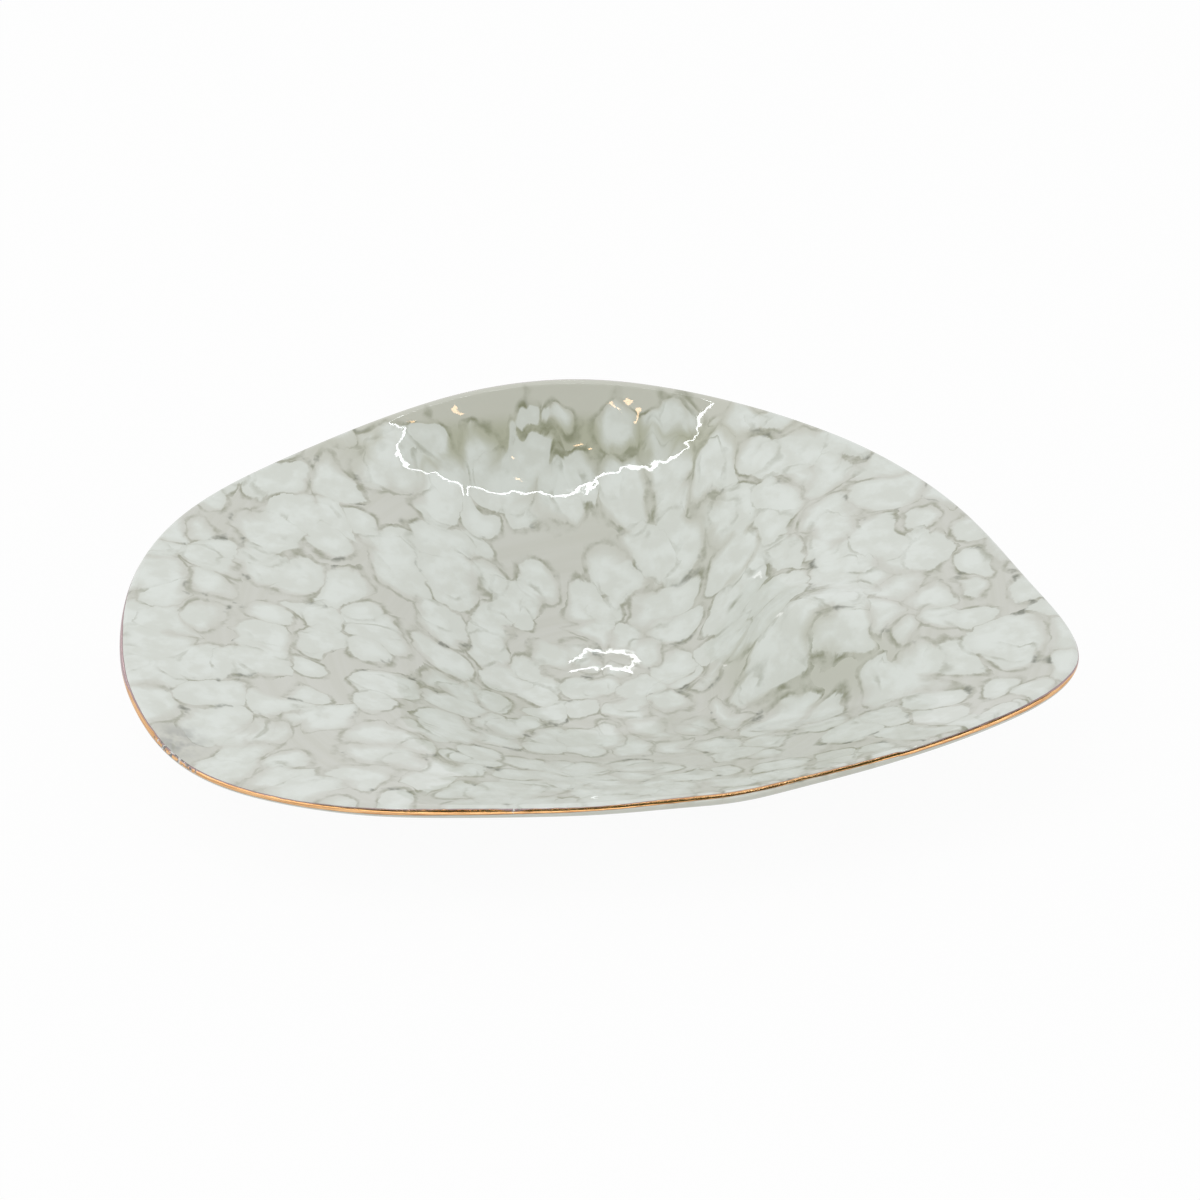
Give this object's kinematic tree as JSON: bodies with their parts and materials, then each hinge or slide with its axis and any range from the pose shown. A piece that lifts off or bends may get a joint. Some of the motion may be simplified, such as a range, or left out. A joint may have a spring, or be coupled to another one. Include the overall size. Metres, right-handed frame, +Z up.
{
  "type": "bowl",
  "caption": "Free-form ceramic centrepiece bowl with a waving rim, an off-centre well, a mottled glaze, a gold lip line and a luted foot ring.",
  "frame": {"origin": "on the table, under the middle of the bowl's outline", "axes": "+Z up; +X along the length, towards the pointed corner; +Y towards the high wall at the back"},
  "size_m": [0.3314, 0.2364, 0.0785],
  "materials": {
    "fired_clay": "matt fired clay, hidden under the glaze",
    "foot_clay": "bare fired clay, smooth where it was wiped",
    "mottled_glaze": "glossy glaze, pale green-white pools with olive outlines",
    "plain_glaze": "glossy pale grey-green glaze",
    "foot_coat": "glossy pale grey-green glaze",
    "recess_coat": "glossy pale grey-green glaze",
    "gold_lustre": "bright gold lustre, slightly worn"
  },
  "bodies": {
    "root": {"clay_body": "fired_clay", "foot_ring": "foot_clay", "inner_glaze": "mottled_glaze", "outer_glaze": "plain_glaze", "foot_glaze": "foot_coat", "recess_glaze": "recess_coat", "gold_line": "gold_lustre"}
  },
  "joints": []
}
